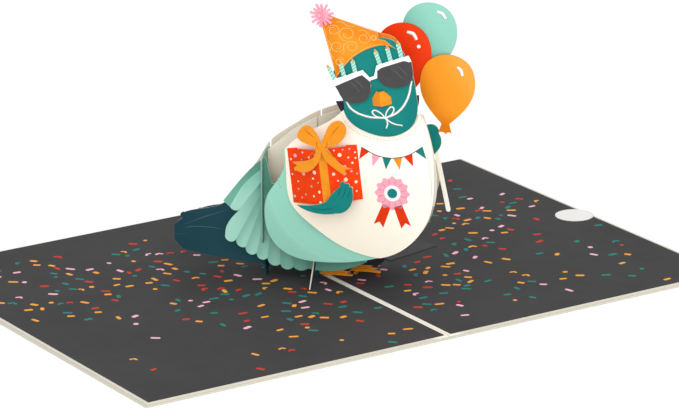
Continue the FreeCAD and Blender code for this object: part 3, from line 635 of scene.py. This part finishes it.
glasses = {
    "leftLens": [(12.6, 80.2, 1), (14.0, 81.3, 1), (21.4, 84.9, 1), (23.0, 84.1), (24.5, 82.2), (25.1, 79.6),
                 (23.4, 75.9), (19.0, 74.4), (15.4, 75.4), (12.9, 79.2)],
    "rightLens": [(27.8, 85.2, 1), (28.0, 87.0), (29.2, 88.2, 1), (37.6, 91.3, 1), (39.6, 90.8),
                  (40.8, 88.0), (40.4, 84.4), (38.6, 82.4), (34.0, 81.0), (30.1, 82.1), (28.2, 84.2)],
    "streaks": [[(17.0, 82.8), (19.4, 80.9), (21.2, 78.8)], [(19.2, 83.4), (21.0, 82.0), (22.6, 80.0)],
                [(32.8, 88.6), (35.2, 86.6), (37.2, 84.6)], [(35.4, 89.2), (37.4, 87.6), (39.0, 85.8)]],
    "candles": [((11.9, 83.0), (9.0, 88.5)), ((15.4, 84.3), (13.8, 90)), ((19.6, 86), (18.3, 91.2)),
                ((28.8, 89.5), (26.8, 95.2)), ((32.8, 91), (31.2, 96.8)), ((36.8, 92.4), (35.2, 98.8))],
    "candleWidth": 1.5, "wick": 0.78, "bands": 4,
    "band": (0.15, 0.75), "lean": 0.06,   # where a stripe lies in its share of the candle, and its slant
}


def printGlasses():
    face = faceOf("candle_glasses")
    lenses = [inkPatch(face, glasses["leftLens"]), inkPatch(face, glasses["rightLens"])]
    gather("lensPrint", lenses, inks["grey"])
    streaks = [inkLine(face, path, 0.32, 0.5, inkThick) for path in glasses["streaks"]]
    gather("lensStreaks", streaks, inks["greyPale"])
    bands, flames = [], []
    for foot, tip in glasses["candles"]:
        long = Vector(tip) - Vector(foot)
        side = Vector((long.y, -long.x)).normalized() * glasses["candleWidth"] / 2
        for i in range(glasses["bands"]):
            low, high = (Vector(between(foot, tip, glasses["wick"] * (i + end) / glasses["bands"]))
                         for end in glasses["band"])
            slant = side + long * glasses["lean"]
            corners = [low - slant, low + slant, high + slant, high - slant]
            bands.append(inkPatch(face, [(p.x, p.y, 1) for p in corners]))
        neck = Vector(between(foot, tip, glasses["wick"]))
        swell = long * 0.1
        flame = [(*(neck - side * 0.85), 1), (*(neck + side * 0.85), 1), (*(neck + side * 0.55 + swell),),
                 (*(Vector(tip) - long * 0.01), 1), (*(neck - side * 0.55 + swell),)]
        flames.append(inkPatch(face, flame))
    gather("candleBands", bands, inks["candleDeep"])
    gather("candleFlames", flames, inks["orange"])


# Head and hat

head = {
    "string": [[(15.9, 74.6), (18.0, 71.6), (23.5, 69.2), (30.6, 68.9)],
               [(30.6, 68.9), (35.2, 71.4), (38.8, 76.6), (40.4, 83.6)]],
    "loops": [[(30.6, 68.9), (28.4, 71.0), (25.9, 71.4), (26.3, 69.9), (30.6, 68.9)],
              [(30.6, 68.9), (31.3, 71.8), (33.4, 73.2), (33.2, 70.8), (30.6, 68.9)],
              [(30.6, 68.9), (31.4, 67.0), (30.9, 65.0)], [(30.6, 68.9), (33.2, 67.1), (37.0, 66.4)]],
    "stringWidth": 0.85, "loopWidth": 0.6,
}


def printHead():
    face = faceOf("head_panel")
    strokes = [inkLine(face, path, head["stringWidth"], 0.8) for path in head["string"]]
    strokes += [inkLine(face, path, head["loopWidth"], 0.8) for path in head["loops"]]
    gather("chinString", strokes, inks["white"])


hat = {
    # across, height, size in mm, and turn in degrees
    "curls": [(11.4, 101.4, 1.7, 10), (16.6, 100.2, 2.4, 150), (12.8, 95.3, 1.9, 250),
              (18.2, 95.5, 1.8, 40), (22.8, 98.9, 1.8, 300), (13.6, 89.6, 1.4, 330),
              (26.6, 99.3, 0.9, 200)],
    "curlWidth": 0.4, "brimWidth": 0.35, "seamWidth": 0.3,
    "waves": [[(9.6, 97.6), (10.6, 95.4), (10.2, 92.6), (11.6, 90.6)],
              [(12.4, 104.6), (14.6, 104.6), (16.6, 103.4), (19.4, 103.2)],
              [(14.6, 92.3), (15.4, 93.6), (15.2, 95.6), (16.0, 97.0)],
              [(20.6, 101.6), (22.6, 101.9), (24.6, 100.9)]],
    "brim": [(12.9, 84.6), (15.1, 88.0), (19.1, 92.3), (25.0, 95.9), (30.0, 97.1)],
    "seam": [(12.2, 85.4), (9.8, 94.8), (7.7, 103.6)],
}


def curl(middle, height, size, turn):
    # one loop and a half with a loose end, as a thrown paper streamer
    path = []
    for i in range(9):
        angle = math.radians(turn + i * 62)
        reach = size * (0.55 + 0.11 * i)
        path.append((middle + reach * math.cos(angle), height + reach * 0.85 * math.sin(angle)))
    return path


def printHat():
    face = faceOf("hat_front")
    curls = [inkLine(face, curl(*place), hat["curlWidth"], 0.5) for place in hat["curls"]]
    curls += [inkLine(face, wave, hat["curlWidth"], 0.5) for wave in hat["waves"]]
    curls += [inkLine(face, hat[edge], hat[f"{edge}Width"], 0.5) for edge in ("brim", "seam")]
    gather("hatCurls", curls, inks["orangePale"])


# Shirt

shirt = {
    "neckline": [(14.8, 71), (18, 66), (23, 63.2), (30.5, 61.9), (36.5, 63.2), (41, 66.5), (43, 71.5)],
    "bandWide": 1.7, "ribs": 40,
    "garland": [(21.5, 57.2), (27, 54.4), (33, 53.6), (39, 55.0), (44.4, 58.6)],
    "flagWide": 3.4, "flagTall": 4.6,
    "rosette": (33.0, 40.0), "petals": 12, "petalReach": (6.6, 5.7), "pleat": (3.4, 4.5, 5.6),
    "eye": 3.1, "heart": 1.9,
    "ribbon": [(0.6, -5.4), (3.6, -4.2), (7.0, -12.2), (4.9, -11.2), (3.4, -13.4)],   # from the rosette
    "seam": [(47.0, 34), (47.7, 42), (47.2, 49), (45.7, 57), (43.6, 65)],
}


def alongPath(path, share):
    # a point of a smooth curve through the path's points, and the curve's direction there
    place = share * (len(path) - 1)
    i = min(int(place), len(path) - 2)
    s = place - i
    near = [Vector(path[max(0, min(len(path) - 1, i + k))]) for k in (-1, 0, 1, 2)]
    slope = [(near[2] - near[0]) / 2, (near[3] - near[1]) / 2]
    point = (near[1] * (2 * s ** 3 - 3 * s ** 2 + 1) + slope[0] * (s ** 3 - 2 * s ** 2 + s)
             + near[2] * (3 * s ** 2 - 2 * s ** 3) + slope[1] * (s ** 3 - s ** 2))
    ahead = (near[1] * (6 * s ** 2 - 6 * s) + slope[0] * (3 * s ** 2 - 4 * s + 1)
             + near[2] * (6 * s - 6 * s ** 2) + slope[1] * (3 * s ** 2 - 2 * s))
    return point, ahead.normalized()


def printShirt():
    face = faceOf("shirt_panel")
    hem, ribs = [], []
    for i in range(shirt["ribs"]):
        point, ahead = alongPath(shirt["neckline"], (i + 0.5) / shirt["ribs"])
        down = Vector((ahead.y, -ahead.x))
        hem.append(tuple(point + down * shirt["bandWide"]))
        near, far = point + down * 0.35, point + down * (shirt["bandWide"] - 0.25)
        ribs.append(inkLine(face, [tuple(near), tuple(near.lerp(far, 0.5)), tuple(far)], 0.2, 0.8))
    ribs.append(inkLine(face, hem, 0.22, 0.6))
    gather("collarRibs", ribs, inks["beige"])
    gather("sideSeam", [inkLine(face, shirt["seam"], 0.25, 0.4)], inks["beige"])
    flags = {"red": [], "pink": [], "teal": [], "orange": []}
    colours = ("red", "pink", "teal", "orange", "red", "teal")
    for i, colour in enumerate(colours):
        point, ahead = alongPath(shirt["garland"], (i + 0.5) / len(colours))
        half = ahead * shirt["flagWide"] / 2
        down = Vector((ahead.y, -ahead.x)) * shirt["flagTall"]
        corners = [point - half, point + half, point + down]
        flags[colour].append(inkPatch(face, [(p.x, p.y, 1) for p in corners]))
    u, z = shirt["rosette"]
    outer, inner = shirt["petalReach"]
    petals, rays = [], []
    for i in range(shirt["petals"]):
        angle = math.radians(360 / shirt["petals"] * i)
        petals.append((u + outer * math.cos(angle), z + outer * math.sin(angle)))
        angle += math.radians(180 / shirt["petals"])
        petals.append((u + inner * math.cos(angle), z + inner * math.sin(angle)))
        ray = [(u + reach * math.cos(angle), z + reach * math.sin(angle)) for reach in shirt["pleat"]]
        rays.append(inkLine(face, ray, 0.3, 0.5, inkThick))
    flags["pink"] += [inkPatch(face, petals)]
    left = [(u - x, z + y, 1) for x, y in reversed(shirt["ribbon"])]
    right = [(u + x, z + y, 1) for x, y in shirt["ribbon"]]
    flags["red"] += [inkPatch(face, left), inkPatch(face, right)]
    for colour, sheets in flags.items():
        gather(f"{colour}ShirtPrint", sheets, inks[colour])
    gather("rosettePleats", rays, inks["pinkDeep"])
    eye = [inkDot(face, (u, z), shirt["eye"], inkThick, 28)]
    gather("rosetteMiddle", eye, inks["white"])
    heart = [inkDot(face, (u, z), shirt["heart"], 2 * inkThick, 24)]
    gather("rosetteHeart", heart, inks["teal"])
    cord = [alongPath(shirt["garland"], i / 12)[0] for i in range(13)]
    gather("garlandCord", [inkLine(face, [tuple(p) for p in cord], 0.3, 0.8, inkThick)],
           inks["grey"])


# Gift

gift = {
    "left": 12.5, "right": 14.0, "tall": 21.0, "proud": 5.5, "tilt": 6.2, "corner": (-4.3, 34.3),
    "shirtDepth": -20.5, "ribbon": 3.2, "dots": 24, "gap": 1.7, "border": 0.9,
    "dotSizes": (0.35, 0.45, 0.6, 0.78), "dotInks": ("dot", "dot", "dot", "pink", "greyMint"),
}


def giftFace(side):
    # a folded face of the gift: its lower left corner, right along it, out of it
    lean = Matrix.Rotation(math.radians(gift["tilt"]), 3, -away)
    origin = across * gift["corner"][0] + away * gift["shirtDepth"] + Vector((0, 0, gift["corner"][1]))
    ridge = across * gift["left"] - away * gift["proud"]
    if side == "left":
        right = ridge.normalized()
    else:
        right = (across * gift["right"] + away * gift["proud"]).normalized()
        origin = origin + lean @ ridge
    up = lean @ Vector((0, 0, 1))
    right = lean @ right
    return planeAt(origin * mm, right, right.cross(up))


def printGift():
    dots = {"dot": [], "pink": [], "greyMint": []}
    border = gift["border"]
    for side, start in (("left", border), ("right", gift["ribbon"] + border)):
        face = giftFace(side)
        wide = math.hypot(gift[side], gift["proud"])
        taken = []
        for attempt in range(400):
            if len(taken) == gift["dots"]:
                break
            spot = (random.uniform(start, wide - border), random.uniform(border, gift["tall"] - border))
            size = random.choice(gift["dotSizes"])
            if all(math.dist(spot, other) > gift["gap"] + size for other in taken):
                taken.append(spot)
                colour = random.choice(gift["dotInks"])
                dots[colour].append(inkDot(face, spot, size))
    for colour, parts in dots.items():
        gather(f"{colour}GiftDots", parts, inks[colour])


# Bow, hands and feet

bow = {
    "folds": [[(5.6, 61.3), (3.0, 63.4), (1.4, 65.2)], [(10.6, 61.6), (13.0, 65.0), (15.4, 67.8)],
              [(8.8, 57.9), (11.4, 55.4), (14.6, 53.3)], [(6.0, 58.0), (3.9, 55.2), (1.2, 53.4)],
              [(6.3, 60.6), (6.0, 59.4), (6.6, 57.4)], [(9.8, 60.8), (9.9, 59.2), (8.9, 57.6)]],
    "fingers": [[(13.4, 39.2), (14.6, 41.6), (15.0, 44.0)], [(15.2, 38.9), (16.4, 41.2), (16.9, 43.6)],
                [(16.8, 38.6), (17.9, 40.6), (18.5, 42.8)], [(3.4, 34.6), (8.6, 34.2), (13.8, 35.6)]],
}


def printBowAndHand():
    folds = [inkLine(faceOf("gift_bow"), path, 0.45, 0.2) for path in bow["folds"]]
    gather("bowFolds", folds, inks["orangeDeep"])
    fingers = [inkLine(faceOf("gift_hand"), path, 0.35, 0.2) for path in bow["fingers"]]
    gather("fingerLines", fingers, inks["tealDeep"])


# Balloons

balloonLight = {   # the arc of light, a dot of light and the slot
    "balloon_red": ([(36.7, 99.2), (39.0, 98.5), (40.3, 96.4)], (41.1, 93.9), "red_card"),
    "balloon_mint": ([(47.9, 107.3), (49.8, 106.5), (51.0, 104.8)], None, "mint_card"),
    "balloon_orange": ([(55.5, 86.9), (56.8, 85.7), (57.4, 83.7)], None, "orange_card"),
}
lightWidth, lightDot = 1.6, 0.7   # mm


def printBalloons():
    for node, (arc, dot, slot) in balloonLight.items():
        face = faceOf(node)
        parts = [inkLine(face, arc, lightWidth, 0.7)]
        if dot:
            parts.append(inkDot(face, dot, lightDot))
        gather(f"{node}_light", parts, inks["white"])


# Wing and tail

wing = {
    "firstFeather": [(-16.9, 48.3, 1), (-25.0, 40.8), (-29.5, 35.3), (-33.1, 30.6, 1), (-30.7, 28.5, 1),
                     (-28.3, 32.7), (-25.1, 37.6), (-21.2, 41.7), (-18.0, 44.6), (-15.9, 44.4, 1)],
    "secondFeather": [(-30.5, 28.5, 1), (-28.4, 32.5), (-25.2, 37.4), (-21.3, 41.4), (-18.2, 44.0, 1),
                      (-17.9, 39.6, 1), (-21.3, 35.2), (-24.4, 31.1), (-26.6, 28.1, 1), (-28.7, 27.2)],
    "tail": [[(-50.2, 17.8), (-42.3, 21.2), (-34.1, 24.3)],
             [(-50.2, 16.2), (-47.8, 16.9), (-41, 17.1), (-35.0, 16.7)], [(-53.6, 13.6), (-49.4, 14.0)]],
    "crease": [(-10.2, 43.2), (-9.6, 41.0), (-8.5, 38.9)],
}


def printWing():
    face = faceOf("wing_panel")
    gather("firstFeather", [inkPatch(face, wing["firstFeather"])],
           inkRecipe("firstFeatherInk", featherPrint))
    gather("secondFeather", [inkPatch(face, wing["secondFeather"])],
           inkRecipe("secondFeatherInk", secondFeatherPrint))
    # a pale painted highlight where the breast bends at its crease
    gather("breastCreaseHighlight", [inkLine(faceOf("body_panel"), wing["crease"], 0.7, 0.4)],
           inks["mintPale"])
    tail = [inkLine(faceOf("front_profile"), path, 0.24, 0.2) for path in wing["tail"]]
    gather("tailLines", tail, inks["ash"])


# Feet

feet = {
    "lines": [[(0.9, 1.1), (5.0, 1.35), (9.2, 1.15)], [(1.6, 1.6), (5.0, 1.9), (8.4, 1.95)],
              [(9.6, 0.6), (11.0, 0.7), (12.0, 0.55)]],
    "drawnWide": 12.5, "drawnTall": 2.6,   # the box that the lines are drawn in
}


def printFeet():
    for node in ("near_foot", "far_foot"):
        corners = [corner.co for corner in nodes[node].data.vertices]
        left, right = min(c.dot(across) for c in corners) / mm, max(c.dot(across) for c in corners) / mm
        low, high = min(c.z for c in corners) / mm, max(c.z for c in corners) / mm
        wide, tall = (right - left) / feet["drawnWide"], (high - low) / feet["drawnTall"]
        face = faceOf(node)
        lines = [inkLine(face, [(left + u * wide, low + z * tall) for u, z in path], 0.24, 0.3)
                 for path in feet["lines"]]
        gather(f"{node}_lines", lines, inks["orangeDark"])


# Confetti on the dark liners

confetti = {
    "count": 320, "rod": (3.5, 1.6), "dotShare": 0.12, "bentShare": 0.14, "apart": 3.6,
    "colours": (("orangeDim", 0.29), ("redDim", 0.24), ("tealDim", 0.30), ("pinkDim", 0.17)),
    "slots": {"orangeDim": "orange_card", "redDim": "red_card", "tealDim": "teal_card",
              "pinkDim": "pink_card"},
    # middle of each drift of confetti on the page, its share and its reach
    "drifts": ((-76, 24, 1.0, 26), (-52, 7, 0.9, 24), (-51, -34, 0.5, 24), (-30, -30, 0.5, 20),
               (-24, -72, 0.2, 18), (14, -50, 0.5, 20), (45, -58, 0.6, 20), (76, -51, 0.4, 20),
               (111, -54, 0.3, 16), (102, -25, 0.3, 20), (96, 16, 0.4, 18), (100, 50, 0.25, 20),
               (-101, 39, 0.7, 18), (-91, 70, 0.6, 16), (-44, 50, 0.9, 20), (-31, 22, 1.1, 18),
               (-113, -81, 0.12, 14), (-88, -91, 0.15, 16), (-5, -17, 0.9, 20), (57, -2, 1.0, 26),
               (30, -30, 0.9, 22), (74, 15, 0.7, 22)),
    "stray": 0.02,   # share of the page between the drifts
    "edge": 4.0, "fold": 4.2, "clear": 3.0,   # kept free at the rim, the fold, the pad and the seal
    "wider": (0.75, 1.1), "taller": (0.85, 1.1), "turn": (-0.55, 0.7),   # size, and turn in radians
    "rodShape": [(-0.5, -0.2), (-0.38, -0.5), (0.38, -0.5), (0.5, -0.2), (0.5, 0.2), (0.38, 0.5),
                 (-0.38, 0.5), (-0.5, 0.2)],
    "bentShape": [(-0.5, -0.7), (-0.3, -0.9), (0, -0.2), (0.3, -0.6), (0.5, -0.3), (0.4, 0.1), (0, 0.6),
                  (-0.45, -0.1)],
}


def confettiShare(x, y):
    # how densely the confetti lies at a place of the page
    drifts = (share * math.exp(-((x - a) ** 2 + (y - b) ** 2) / reach ** 2)
              for a, b, share, reach in confetti["drifts"])
    return confetti["stray"] + sum(drifts)


def confettiShapes():
    # a rod, a bent rod and a dot, each modelled once
    long, wide = confetti["rod"]
    flat = Matrix.Identity(4)
    pieces = [inkPatch(flat, [(u * long, v * wide, 1) for u, v in confetti[outline]])
              for outline in ("rodShape", "bentShape")]
    return [*pieces, inkDot(flat, (0, 0), 1.0)]


def scatterConfetti():
    low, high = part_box("mount_sheet")
    edge, clear, level = confetti["edge"] * mm, confetti["clear"] * mm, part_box("liner_left")[1].z
    kept = [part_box(name) for name in ("anchor_pad", "closing_disc")]
    shapes = confettiShapes()
    names = [name for name, _ in confetti["colours"]]
    weights = [weight for _, weight in confetti["colours"]]
    parts = {name: [] for name in names}
    placed = []
    while len(placed) < confetti["count"]:
        x = random.uniform(low.x + edge, high.x - edge)
        y = random.uniform(low.y + edge, high.y - edge)
        if random.random() > confettiShare(x / mm, y / mm) or abs(x) < confetti["fold"] * mm:
            continue
        if any(a.x - clear < x < b.x + clear and a.y - clear < y < b.y + clear for a, b in kept):
            continue
        if any(math.dist((x, y), spot) < confetti["apart"] * mm for spot in placed):
            continue
        placed.append((x, y))
        straight = 1 - confetti["dotShare"] - confetti["bentShare"]
        shape = random.choices(shapes, (straight, confetti["bentShare"], confetti["dotShare"]))[0]
        copy = shape.copy()
        copy.data = shape.data.copy()
        bpy.context.scene.collection.objects.link(copy)
        wider, taller = random.uniform(*confetti["wider"]), random.uniform(*confetti["taller"])
        grow = Matrix.Diagonal((wider, taller, 1, 1))
        turn = Matrix.Rotation(random.gauss(*confetti["turn"]), 4, "Z")
        copy.data.transform(Matrix.Translation((x, y, level)) @ turn @ grow)
        parts[random.choices(names, weights)[0]].append(copy)
    for shape in shapes:
        bpy.data.objects.remove(shape)
    for name, copies in parts.items():
        gather(f"{name}Confetti", copies, inks[name])


printGlasses()
printHead()
printHat()
print("head printed")
printShirt()
printGift()
printBowAndHand()
printBalloons()
print("shirt, gift and balloons printed")
printWing()
printFeet()
scatterConfetti()
print("wing, tail and page printed")
